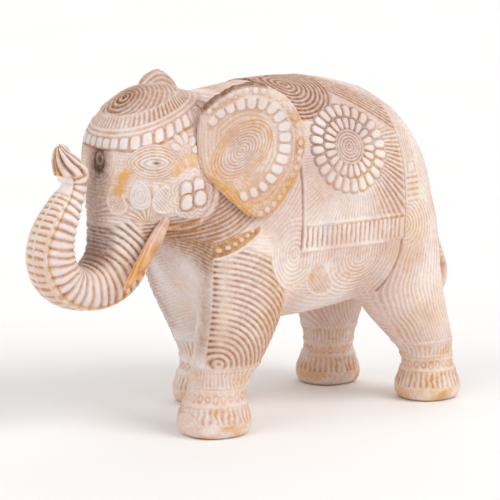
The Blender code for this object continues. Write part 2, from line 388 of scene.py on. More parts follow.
def neck_lines(relief):
    """Rings round the neck, painted shade on the neck below the jaw, and a stained band of beads where they
    end.
    """
    points, x, y, z = relief.places()
    reach = np.hypot(y - NECK_CENTRE[0], z - NECK_CENTRE[1])
    below = within(y, -112, -26, 2) * (z < 186)
    mask = within(reach, 60, BEAD_BAND[0]) * below
    # Painted shade: brown and ochre on the neck below the jaw, deeper lower down
    shade = line(reach - 92, 22) * until(y, -46, -34)
    cut = threads(reach / 2.9, 0.26 + 0.05 * wave(points, 25, 31))
    low = fade(-z, -158, -140)
    brown = shade * (0.12 + 0.12 * low + 0.48 * cut)
    relief.over(mask, cut, 0.75, 0.1, gold=(0.4 + 0.2 * low) * shade, brown=brown)
    outside = fade(reach, BEAD_BAND[0] - 0.5, BEAD_BAND[0] + 0.5)
    shoulder = outside * (y > -48) * (y < BLANKET[0]) * fade(z, 143, 150)
    relief.over(shoulder, 0.6 * furrow(reach / 2.8, 0.24), 0.6, 0)

    band_middle, band_half = sum(BEAD_BAND) / 2, (BEAD_BAND[1] - BEAD_BAND[0]) / 2
    taper = until(y, -52, -31)
    side = fade(x, 28, 36) * within(y, -76, -33, 1.5)
    lower = BEAD_BAND[1]
    band = within(reach, lower - 2 * band_half * (0.25 + 0.75 * taper), lower, 0.5) * side
    stain = 0.4 + 0.2 * fade(-y, 48, 70) + 0.2 * wave(points, 9, 5)
    relief.over(band, 0.5, 0.8, -0.2, gold=0.85, brown=stain)
    spacing = 5.4
    along = np.arctan2(y - NECK_CENTRE[0], NECK_CENTRE[1] - z) * band_middle / spacing
    bead = np.hypot(reach - band_middle, (along - np.round(along)) * spacing)
    relief.over(fade(-bead, -2.0, -1.3) * band, 0, 0, 1.0, gold=0.45, brown=0.12)
    relief.raised(line(reach - lower - 0.9, 1.1) * side, 1.2)
    relief.tint(line(reach - lower - 0.9, 1.1) * side, gold=0.12)


def front_legs(relief, left):
    """Arcs on the outer side of each front leg, and lines on the chest and inner side with painted shade
    beside the leg's front corner.
    """
    points, x, y, z = relief.places()
    middle = np.where(left, FOOT_CENTRES["front_left"], FOOT_CENTRES["front_right"])
    lean = fade(z, 125, 60)  # the right leg steps back, so its lines shift only below the shoulder
    centre = FOOT_CENTRES["front_left"] - 7 + (middle - FOOT_CENTRES["front_left"]) * lean
    reach = np.hypot(y - centre, z - 54)
    neck = np.hypot(y - NECK_CENTRE[0], z - NECK_CENTRE[1])
    leg = fade(z, 50, 51.5) * until(z, 138, 146) * until(y, centre + 52, centre + 62)
    corner = 49 + 0.05 * (100 - z)
    outer = leg * fade(x, corner, corner + 2) * fade(neck, BEAD_BAND[1] + 1, BEAD_BAND[1] + 3)
    outer = outer * until(reach, 84, 88)
    cut = furrow(reach / 4.1, 0.24)
    front = line(x - corner - 1, 4) * fade(-(y - centre), -14, 0)
    pale = line(x - corner - 9, 4) * fade(-(y - centre), -24, -8) * fade(z, 60, 75)
    warm = fade(y - centre, 22, 50)
    shown = cut * (1 - 0.7 * pale)
    relief.over(outer, shown, 1.2, 0.3, gold=0.26 + 0.3 * warm, brown=0.1 + (0.34 + 0.55 * front) * shown)
    inner = leg * until(x, corner, corner + 2) * (y < centre + 30)
    level = z + 0.3 * x + 3 * wave(points, 40, 5)
    # Painted shade: a brown and ochre wedge inside the leg's front corner, widening towards the top, with a
    # paler wash away from it
    shade = line(x - corner + 5, 7 + 0.7 * np.maximum(z - 112, 0)) * fade(z, 52, 68)
    high = fade(z, 112, 130)
    cut = (0.28 + 0.37 * high) * furrow(level / 2.5, 0.27)
    gold = 0.08 + 0.25 * wave(points, 30, 6) + 0.6 * high * shade
    brown = (0.36 + 0.14 * high + 0.5 * cut) * shade
    relief.over(inner, cut, 0.6, 0, gold=gold, brown=brown, white=0.5 * (1 - shade))


def swirl(relief):
    """Nested arcs beside the front edge of the blanket."""
    points = relief.points
    local = Local(points, (66.4, -5, 129), (1, -0.1, 0))
    oval = np.hypot(local.a, local.b * 0.75)
    mask = within(oval, 0, 21) * (points[:, 0] > 30)
    relief.over(mask, 0.6 * furrow(oval / 2.6, 0.25), 0.8, 0.05, gold=0.1, brown=0)


def blanket(relief):
    """A lined cloth with a rosette of two rings of petals, stripes, arcs, a fringe and a border."""
    points, x, y, z = relief.places()
    cloth = within(y, *BLANKET) * fade(z, BLANKET_FOOT - 0.5, BLANKET_FOOT + 0.5)
    local = Local(points, *ROSETTE)
    turns = local.turn / (2 * np.pi)
    warm = fade(local.a, 0, 35)
    fine = furrow(turns * 116 + 0.06 * (local.r - 32), 0.25)
    relief.over(cloth, 0.6 * fine, 0.8, 0.1, gold=0.08 + 0.15 * warm, brown=0.04)
    rear = cloth * within(turns, -0.17, 0.05, 0.05)
    coarse = furrow(turns * 84 + 0.02 * local.r, 0.3)
    relief.over(rear, coarse, 1.1, 0.2, gold=0.1 + 0.4 * coarse, brown=0.3 * coarse)

    slope = 0.6 * local.a + 0.8 * local.b
    strong = until(slope, 52, 62)
    stripes = cloth * fade(slope, 36, 37) * fade(local.a + 0.35 * (local.b - 40), -2, 1)
    cut = strong * threads(slope / 3.1, 0.3)
    relief.over(stripes, 0.9 * cut, 0.9, 0.2, gold=0.1 + 0.3 * strong, brown=0.16 + 0.5 * cut)
    arcs = np.hypot(local.a + 29, local.b - 56)
    mask = cloth * until(arcs, 33.5, 34.5) * fade(local.r, 33, 34)
    cut = furrow(arcs / 3.3 + 0.5, 0.3)
    relief.over(mask, cut, 1.1, 0.3, gold=0.4, brown=0.18 + 0.72 * cut)
    relief.raised(line(arcs - 34.8, 0.8) * cloth * fade(local.r, 33, 34), 0.7)

    lower = fade(-local.b, -6, 10) * fade(local.a, -10, 4)
    dark = fade(local.b - 0.5 * local.a, -10, 16)
    petals(relief, local, 24, middle=28.7, half=5.4, gold=0.2 + 0.4 * lower, brown=0.15 + 0.45 * dark)
    brown = 0.3 + 0.35 * dark
    petals(relief, local, 20, middle=18.0, half=5.0, turn=0.02, gold=0.15 + 0.45 * lower, brown=brown)
    cut = threads(local.r / 2.5, 0.3)
    relief.over(until(local.r, 12.4, 13.0), cut, 0.9, 0.3, gold=0.05, brown=0.05 + 0.3 * cut)
    relief.raised(line(local.r - 12.7, 0.6), 0.8)

    fringe = within(z, BLANKET_FOOT + 1.6, FRINGE_TOP - 2.2, 0.4) * cloth
    stroke = furrow(y / 4.3 + 0.08 * wave(points, 9, 10), 0.17 + 0.05 * wave(points, 12, 9))
    tint = 0.2 * within(y, 25, 88, 8)
    relief.over(fringe, stroke, 0.9, 0.15, gold=0.06 + tint, brown=0.22 * stroke)
    for level in (FRINGE_TOP, BLANKET_FOOT):
        ridge = line(z - level, 1.25) * within(y, *BLANKET) * (x > 30)
        relief.raised(ridge, 1.1)
        relief.tint(line(z - level + 1.9, 0.8) * cloth * (x > 30) * fade(y, 15, 40), gold=0.5)
    for edge, rim in ((BLANKET[0], 1.6), (BLANKET[1], -1.6)):
        tall = fade(z, BLANKET_FOOT - 1, BLANKET_FOOT + 1)
        relief.raised(line(y - edge - rim, 1.2) * tall, 0.8)
        seam = line(y - edge, 0.65) * tall
        relief.groove(seam, 0.8)
        relief.tint(seam, brown=0.35)


def below_blanket(relief):
    """Short strokes under the border, a bowl of arcs with a crossed drop, and the belly's lines."""
    points, x, y, z = relief.places()
    flank = (x > 25) * within(y, *BLANKET, 2)
    strokes = furrow(y / 2.7 + 0.15 * wave(points, 14, 2), 0.27)
    mask = within(z, 117, BLANKET_FOOT - 1.6, 0.6) * flank
    relief.over(mask, 0.8 * strokes, 0.6, 0.0, gold=0.2, brown=0.15 * strokes)

    bowl = np.hypot((y - 54) * 0.85, z - 121)
    mask = within(bowl, 0, 34) * (z < 119) * (x > 25)
    gold = 0.12 + 0.2 * line(bowl - 14, 8)
    relief.over(mask, 0.7 * furrow(bowl / 2.9, 0.26), 0.7, 0.05, gold=gold, brown=0)

    drop = Local(points, (62.9, 19, 108), (1, 0, -0.2))
    bend = drop.a + 0.35 * drop.b - 0.02 * drop.b**2
    shape = np.hypot(bend / (9.5 - 0.25 * drop.b), drop.b / 15)
    cross = np.maximum(furrow((drop.a + drop.b) / 3.4, 0.24), furrow((drop.a - drop.b) / 3.4, 0.24))
    mask = until(shape, 0.75, 1.1) * (x > 25)
    relief.over(mask, 0.6 * cross, 0.7, 0.1, gold=0.35 + 0.2 * wave(points, 10, 44), brown=0.1 * cross)
    relief.raised(line(shape - 1.08, 0.07) * (x > 25) * fade(-drop.b, -8, 2), 0.6)

    belly = np.hypot((y - 50) * 0.62, z - 136)
    mask = fade(belly, 46, 47) * within(y, -5, 84, 3) * (z < 104)
    relief.over(mask, 0.5 * furrow(belly / 3.1, 0.24), 0.35, 0, gold=0.06, brown=0)


def rump(relief):
    """Curved lines behind the blanket, a strap of three patterns down its edge, and arcs below it."""
    _, x, y, z = relief.places()
    rear = fade(y, BLANKET[1] + 1, BLANKET[1] + 2)
    sweep = np.hypot(y - 84, z - 128)
    relief.over(rear * (z > 100), 0.3 * furrow(sweep / 3.6, 0.22), 1.0, 0.1, gold=0.1, brown=0.05)

    strap = within(y, 98.5, 112) * (x > 28)
    slant = furrow((z - 0.9 * y) / 3.0, 0.25)
    relief.over(strap * within(z, 189, 232, 0.6), 0.6 * slant, 0.6, 0.15, gold=0.2, brown=0.1 * slant)
    box = np.maximum(np.abs(y - 105) / 4.6, np.abs(z - 183.5) / 3.8)
    relief.over(strap * within(z, 178, 189), 0.7 * line(box - 1, 0.16), 0.8, 0.3, gold=0.2)
    bars = furrow(z / 4.4, 0.22)
    relief.over(strap * within(z, 158, 178), 0.6 * bars, 1.0, 0.2, gold=0.1 + 0.5 * bars)
    relief.raised(line(y - 112.6, 0.9) * within(z, 157, 232, 1) * (x > 28), 0.5)

    arcs = np.hypot(y - 96, z - 141)
    mask = within(arcs, 0, 30) * (y > BLANKET[1] + 2) * (z < 158)
    relief.over(mask, 0.7 * furrow(arcs / 3.1, 0.26), 0.7, 0.05, gold=0.22, brown=0)


def rear_legs(relief, left):
    """Strands that fall from the flank and draw together at the ankle."""
    points, x, y, z = relief.places()
    step = np.where(left, 0, FOOT_CENTRES["rear_right"] - FOOT_CENTRES["rear_left"]) * fade(z, 120, 60)
    front, back = (np.interp(z, *rounded(edge).T[::-1]) + step for edge in (THIGH_FRONT, THIGH_BACK))
    share = (y - front) / (back - front)
    cut = threads(share * 19 + 0.4 * wave(points, 26, 4), 0.28)
    mask = within(z, 46, 126, 1.5) * fade(y, front - 3, front + 1) * fade(x, 6, 10)
    tan = 0.22 + 0.2 * wave(points, 30, 12)
    relief.over(mask, 0.6 * cut, 1.1, 0.3, gold=tan * cut, brown=0.04 * cut)

    away, _, side = along_path(points[:, 1:], rounded(FLANK))
    flank = (x > 40) * within(z, 88, 131, 2)
    lines = within(side * away, -14, 0, 0.4) * flank
    relief.over(lines, 0.6 * furrow(away / 3.1, 0.26), 0.6, 0.05, gold=0.08)
    relief.groove(line(away, 0.8) * flank, 1.0)
    relief.tint(line(away, 1.1) * flank, brown=0.35)


def ankles(relief, left):
    """A row of strokes and a row of dots between raised rings, and below them the toes."""
    points, x, y, z = relief.places()
    for name in ENDS:
        top, middle, bottom = ANKLES[name]
        centre = np.where(left, FOOT_CENTRES[name + "_left"], FOOT_CENTRES[name + "_right"])
        near = (z < top + 3) * (np.abs(y - centre) < 38)
        turn = np.arctan2(y - centre, x - FOOT_X) / (2 * np.pi)
        patch = np.clip((0.4 if name == "front" else 0.6) + 0.9 * wave(points, 16, 21), 0, 1)
        drift = 0.2 * wave(points, 9, 22)

        strokes = (0.65 + 0.3 * wave(points, 8, 23)) * furrow(turn * 40 + drift, 0.24)
        band = near * within(z, middle, top)
        relief.over(band, strokes, 0.9, 0.1, gold=0.45 * patch, brown=0.2 * strokes, white=0.15)
        height = (middle + bottom) / 2
        disc = np.hypot((turn * 22 - np.round(turn * 22)) * 7.0, z - height + 4 * drift)
        dots = (0.7 + 0.3 * wave(points, 8, 24)) * line(disc - 2.2, 0.9)
        band = near * within(z, bottom, middle)
        relief.over(band, dots, 0.8, 0.2, gold=0.3 * patch + 0.2 * dots)
        toes = (0.65 + 0.3 * wave(points, 8, 25)) * furrow(turn * 34 + drift, 0.24)
        band = near * within(z, 11, bottom, 0.8)
        stain = (0.2 + 0.35 * patch) * toes
        relief.over(band, toes, 1.0, 0.1, gold=0.08 + 0.5 * patch, brown=stain, white=0.15)
        relief.over(near * until(z, 9, 12), 0, 0, 0, gold=0.08 + 0.65 * patch, brown=0.12 * patch)
        for level in (top, middle, bottom):
            ridge = np.maximum(line(z - level - 1.1, 0.85), 0.7 * line(z - level + 1.1, 0.7))
            relief.raised(near * ridge, 0.9)
        flare = 0.7 if name == "front" else 1.1
        relief.height += near * (flare * line(z - 9, 7.5) - 0.8 * line(z - middle + 6, 8))


# --- relief of the head ---

CAP_SLOPE = 0.35
CAP_MIDDLE = -88
POLE = (0, -0.62, 0.785)
EYE = (42.1, -114.4, 201.8)
EYE_AXIS = (0.53, 0.85, 0)
SMEAR_BACK = [(45, -94, 196), (44.7, -84.4, 197.6), (43.5, -78, 203)]
SMEAR_FRONT = [(28.8, -127, 195), (24.5, -128.6, 187), (21.5, -129, 181)]
LEAF_FOOT = (28, -109, 155)
LEAVES = ((19, -130, 174), (34.6, -119.6, 178.5), (39.5, -102.3, 174.3))
CHEEK = ((43.4, -79.7, 177), (0.95, -0.25, 0.1))
TEMPLE = ((44.6, -86.7, 208.7), (0.85, -0.25, 0.45))
EAR_TOP = (32, -60, 237)  # where the cap, the neck and the ear meet
JAW = [(-60, 190), (-64, 168), (-71, 156.5), (-80, 151), (-90, 151)]  # y, z


def cap(relief, head):
    """The round cap: rings, rays, a double rim and a row of scallops below it."""
    points, x, y, z = relief.places()
    above = (z - 220 - CAP_SLOPE * (y + 127)) / np.hypot(1, CAP_SLOPE)
    turn = np.arctan2(x / 46, -(y - CAP_MIDDLE) / 46) / (2 * np.pi)
    rise = points @ np.array(POLE)
    reach = np.sqrt(np.maximum(2 * 42 * (rise[head > 0.5].max() - rise), 0))

    crown = head * fade(above, 9.2, 9.8)
    cut = threads(reach / 3.3 + 0.12 * wave(points, 20, 33), 0.24)
    red = line(reach, 15)
    relief.over(crown, cut, 0.9, 0.3, gold=0.2 + 0.4 * red, brown=0.1 + 0.2 * red + (0.25 + 0.45 * red) * cut)
    rays = furrow(turn * 64, 0.25)
    dark = fade(np.abs(turn), 0.06, 0.2)
    band = head * within(above, 3.5, 9.5, 0.4)
    relief.over(band, rays, 0.9, 0.1, gold=0.15 + 0.1 * dark, brown=0.04 + 0.6 * dark * rays)
    relief.raised(line(above - 9.6, 0.8) * head, 0.9)
    rim = np.maximum(line(above - 2.4, 0.95), line(above + 0.4, 0.95))
    relief.over(head * within(above, -1.8, 3.6, 0.4), 1 - rim, 0.9, 0.9, gold=0.08, brown=0)

    front = head * (y < -50)
    count = 33
    tall = 2.9 + 1.1 * fade(x, 16, 38)
    wide = (turn * count - np.round(turn * count)) * 7.8
    deep = (above + 2.1 + tall) / tall
    tooth = fade(-((np.abs(wide) / 2.95) ** 4 + np.abs(deep) ** 4), -1.4, -0.7)
    orange = np.clip(0.35 + 0.6 * wave(points, 22, 35), 0, 1)
    row = front * within(above, -2.8 - 2 * tall, -2.0, 0.4)
    gap = 1 - tooth
    relief.over(row, 0.8 * gap, 1.5, 0.9, gold=orange * gap, brown=0.15 * gap, white=0.35 * tooth)
    seam = line(above + 3.2 + 2 * tall, 0.7)
    relief.groove(front * seam, 0.6)
    relief.tint(front * seam, gold=0.3, brown=0.3)


def eye(relief, head):
    """Nested lids round a pale ball, a dark pupil and ochre that has run from both corners."""
    points = relief.points
    away = np.cross(EYE_AXIS, (0, 0, 1))
    local = Local(points, EYE, away)
    local.a = (points - np.array(EYE)) @ np.array(EYE_AXIS)
    almond = lens(local, start=0, reach=20.5, height=12.5, shift=2)
    lids = threads(almond / 0.2, 0.26)
    mask = head * fade(-almond, -1.12, -1.06) * fade(almond, 0.2, 0.28)
    relief.over(mask, 0.8 * lids, 0.9, 0.7, gold=0.55 * lids, brown=0.06 * lids)
    ball = head * fade(-almond, -0.3, -0.24)
    relief.over(ball, line(almond - 0.14, 0.035), 0.6, 1.2, gold=0.05, brown=0, white=0.5)
    pupil = line(np.hypot((local.a - 3.2) / 3.2, local.b / 1.5), 0.8) * head
    relief.groove(pupil, 0.7)
    relief.tint(pupil, brown=1.0)
    for path, size, strength in ((SMEAR_BACK, 6.5, 0.75), (SMEAR_FRONT, 4.6, 1.0)):
        reach, _, _ = along_path(points, path)
        relief.over(head * line(reach, size), 0, 0, 0.2, gold=strength, brown=0)


def forehead(relief, head):
    """A hollow between the eyes ringed with small arcs, filled with painted shade, and painted shade on the
    front of the face below it.
    """
    points, x, y, z = relief.places()
    local = Local(points, (0, -133, 202), (0, -1, 0))
    hollow = line(local.r, 10)
    mask = head * within(local.r, 5, 20) * until(local.b, 7, 9)
    # Painted shade: brown round the hollow, near-black in it, and brown on the front of the face below it
    relief.over(mask, furrow(local.r / 2.7, 0.26), 0.5, 0, gold=0.1, brown=0.3 * line(local.r - 8, 7))
    relief.height -= 1.8 * hollow * head
    relief.tint(hollow * head, brown=0.95)
    relief.tint(head * until(x, 5, 20) * until(z, 186, 204) * (y < -100), brown=0.42)


def leaves(relief, head):
    """Three leaves on the cheek, with fanned lines behind them."""
    points = relief.points
    foot = np.array(LEAF_FOOT, float)
    fan = np.hypot(*(points - foot)[:, 1:].T)
    offset = points - foot
    spread = np.arctan2(offset @ np.array((-0.45, 0.89, 0)), offset[:, 2]) / (2 * np.pi)
    mask = head * within(fan, 3, 30, 2) * (np.abs(spread) < 0.2)
    relief.over(mask, furrow(spread * 40, 0.26), 0.5, 0, gold=0.12, brown=0)
    for index, centre in enumerate(LEAVES):
        centre = np.array(centre, float)
        up = centre - foot
        up[:2] *= 0.4
        outward = (0.75, -0.65, 0.1) if index else (0.35, -0.93, 0.1)
        local = Local(points, centre, outward, up / np.linalg.norm(up))
        shape = np.hypot(local.a / (6.6 - 0.16 * local.b), local.b / 9.6)
        mask = head * fade(-shape, -1.08, -0.98)
        cross = furrow((local.b + 0.8 * local.a) / 2.6, 0.26)
        if index == 0:
            cross = np.maximum(cross, furrow((local.b - 0.8 * local.a) / 2.6, 0.26))
        if index == 1:
            cross = furrow(shape * 3.2, 0.24)
        relief.over(mask, 0.7 * cross, 0.6, 0.35, gold=0.25 if index == 0 else 0.08, brown=0, white=0.4)
        relief.raised(head * line(shape - 1.02, 0.1), 0.8)
        relief.groove(0.5 * head * line(shape - 1.2, 0.07), 0.6)


def flowers(relief, head):
    """A four-petalled flower on the cheek and half a flower above the eye."""
    points = relief.points
    local = Local(points, *CHEEK)
    mask = head * within(local.r, 0, 20)
    scallop = np.abs(np.sin(local.turn * 5)) * 3.2
    outer = furrow((local.r - scallop) / 3.3, 0.24)
    relief.over(mask, 0.7 * outer, 0.7, 0.3, gold=0.1 * outer, brown=0)
    relief.over(head * fade(-local.r, -12.4, -10), 0.7, 0.8, 0.2, gold=0.45, brown=0.12)
    for quarter in range(4):
        angle = math.radians(52 + 10 * (quarter % 2) + 90 * quarter)
        a = local.a - 6.2 * math.cos(angle)
        b = local.b - 7.4 * math.sin(angle)
        petal = (np.abs(a) / 4.7) ** 2.4 + (np.abs(b) / 5.6) ** 2.4
        relief.over(head * within(petal, 1.05, 1.7, 0.12), 0.7, 1.0, 0.3, gold=0.3, brown=0.35)
        relief.over(head * fade(-petal, -1.1, -0.5), 0, 0, 1.2, gold=0.05, brown=0, white=0.35)

    local = Local(points, *TEMPLE)
    for step in range(5):
        angle = math.radians(12 + 39 * step)
        cosine, sine = math.cos(angle), math.sin(angle)
        a, b = local.a - 8.6 * cosine, local.b - 8.6 * sine
        radial = a * cosine + b * sine
        across = -a * sine + b * cosine
        petal = np.hypot(radial / 4.3, across / 2.7)
        relief.over(head * fade(-petal, -1.35, -1.2), 0.7, 0.8, 0.2, gold=0.3, brown=0)
        relief.over(head * fade(-petal, -1.12, -0.9), 0, 0, 0.8, gold=0.05, brown=0, white=0.35)
    arcs = within(local.r, -1, 5.2, 0.4) * (local.b > -3)
    relief.over(head * arcs, 0.7 * furrow(local.r / 2.3, 0.26), 0.7, 0.4, gold=0.15, brown=0)


def jaw(relief, head):
    """The raised edge of the jaw, lines where the ear grows out, and painted shade where the cap, the neck and
    the ear meet.
    """
    points, x, y, z = relief.places()
    reach, _, _ = along_path(points[:, 1:], rounded(JAW))
    edge = fade(x, 18, 24)
    relief.raised(edge * line(reach, 1.7), 1.4)
    relief.tint(edge * line(reach - 2.6, 1.1) * (y < -72), gold=0.7)
    relief.groove(edge * line(reach - 2.9, 0.8), 0.5)
    root = head * within(y, -76, -55, 1.5) * within(z, 188, 236, 2)
    relief.over(root, 0.6 * furrow((y + 1.6 * np.sin(z / 4)) / 2.9, 0.26), 0.6, 0, gold=0.12, brown=0)
    # Painted shade in the corner where the cap, the neck and the ear meet
    corner = np.sqrt(((points - np.array(EAR_TOP)) ** 2).sum(1))
    relief.tint(line(corner, 11), brown=0.7)


# --- relief of the trunk ---

TRUNK_LINE = [
    (-107, 196), (-110, 176), (-111, 156), (-113, 138), (-119, 121), (-133, 110),
    (-152, 107.5), (-167, 114), (-174, 130), (-172.7, 147), (-165.2, 163), (-156.2, 176),
    (-151.7, 186), (-154.2, 195), (-159.2, 204), (-164.2, 212), (-166.2, 217),
]  # y, z
TRUNK_PITCH = 6.2
TRUNK_NECK = 198.0
TRUNK_TIP = 224.0
CORNER = 55.0  # degrees from straight out, where the trunk's flat outer face meets its sides


def trunk(relief):
    """Ribs across the trunk, a raised line down each corner, and a folded tip."""
    points, x, _, _ = relief.places()
    away, reach, side = along_path(points[:, 1:], rounded(TRUNK_LINE))
    outward = side * away
    mask = trunk_part(points)
    angle = np.degrees(np.arctan2(x, outward))
    slant = 0.7 * until(reach, 55, 105)
    root = until(reach, 60, 95)
    turns = (reach - slant * outward) / TRUNK_PITCH + 0.22 * wave(points, 24, 5)
    ribs = furrow(turns, 0.2 + 0.05 * wave(points, 18, 6))
    inner = fade(angle, 126, 162) * root
    stripe = threads(reach / 3.6, 0.3)
    cut = ribs * (1 - inner) + 0.7 * stripe * inner
    rose = np.clip(0.4 + 0.5 * wave(points, 20, 15), 0, 1)
    # Painted shade: extra brown and no white wash on the inner face of the trunk's root, under the forehead
    painted_shade = fade(angle, 118, 152) * until(reach, 80, 118)
    brown = np.clip((0.2 + 0.3 * root) * cut + 0.5 * painted_shade, 0, 0.85)
    white = 0.4 * (1 - cut) * (1 - painted_shade)
    relief.over(mask, cut, 1.5, 0.2, gold=(0.15 + 0.6 * rose) * cut, brown=brown, white=white)
    ladder = mask * until(angle, CORNER - 3, CORNER) * fade(reach, 60, 72)
    column = within(np.abs(x), 1.5, 10.5, 1.0) + 0.2
    rungs = furrow(reach / 4.4 + 0.1 * wave(points, 10, 16), 0.2) * np.minimum(column, 1)
    relief.over(ladder, rungs, 0.9, 0.15, gold=0.12 + 0.7 * rungs, brown=0.03 * rungs)
    high = fade(reach, 62, 76) * until(reach, TRUNK_TIP - 2, TRUNK_TIP + 2)
    bend = CORNER + 4 * np.sin(reach / 9)
    relief.raised(mask * line(angle - bend, 4.5) * high, 1.1)
    relief.tint(mask * line(angle - bend - 6, 4) * high, gold=0.75, brown=0.15)

    front = until(angle, CORNER - 3, CORNER)
    rise = reach - TRUNK_TIP + 0.075 * np.abs(angle)  # the tip's collar slants down towards the face
    plain = mask * fade(reach, TRUNK_NECK - 1, TRUNK_NECK + 1) * (rise < 0) * front
    relief.over(plain, 0, 0, 0, gold=0.02, brown=0, white=0.4)
    relief.height -= 3 * mask * line(reach - TRUNK_NECK - 9, 8) * until(angle, 50, 85)
    tip = mask * fade(rise, -0.8, 0.8)
    folds = furrow((angle + 20 + 1.1 * rise) / 40 + 0.12 * wave(points, 16, 61), 0.18)
    high = fade(rise, 10, 24)
    depth = 3.0 * (1 - 0.6 * high)
    gold, white = 0.1 + 0.45 * folds, 0.3 * (1 - folds)
    relief.over(tip, folds, depth, 1.2 * (1 - high), gold=gold, brown=0.65 * folds, white=white)
    relief.height -= 2.8 * tip * within(rise, 7, 24, 4) * fade(angle, 60, 110)
    collar = mask * line(rise, 1.1)
    relief.raised(collar, 1.0)
    relief.tint(collar, gold=0.5)
    relief.tint(tip * line(angle, 26) * line(rise - 5, 6), gold=0.85, brown=0.25)
    relief.tint(tip * line(angle - 10, 30) * line(rise - 20, 5), gold=0.6, brown=0.2)


def trunk_part(points):
    """1 on the trunk, 0 on the head."""
    y, z = points[:, 1], points[:, 2]
    below = fade(-(z - 163 - 0.36 * (y + 112)), -2, 3)
    lifted = fade(-(y + 137.5), -1, 1) * (z > 120)
    throat = until(y + 0.8 * (z - 120), -92, -86)
    return np.maximum(below * throat, lifted) * fade(-y, 84, 90)


# --- relief of the ears, tusks and tail ---

EAR_ROOT = (45, -70.8, 212)
EAR_FLARE = math.radians(25)
EAR_RIM = [
    (-7, 24), (4, 34), (20, 43), (38, 46), (56, 40), (69, 27), (76, 8), (75, -14),
    (66, -34), (53, -52), (38, -59), (24, -50), (12, -35), (-5, -22), (-9, 0), (-7, 24),
]
EAR_MIDDLE = (30, -4)
EAR_TIP_REACH = 193.0  # millimetres along the rim, from its first point to the low tip
EAR_ROW = [
    (2, 15), (12, 24), (24, 28.5), (36, 29.5), (47, 26.5), (56, 16),
    (58.5, 3), (56.5, -10), (49, -24), (38, -34), (24, -39),
]
EAR_PETALS = 17
EAR_LINE, EAR_BEADS = 0.75, 0.85  # how far out from the middle, where the rim is 1
EAR_OVAL = (26.5, -5)
EAR_OVAL_SIZE = (28, 17)
EAR_OVAL_TILT = math.radians(45)
TAIL_MIDDLE = 160  # y


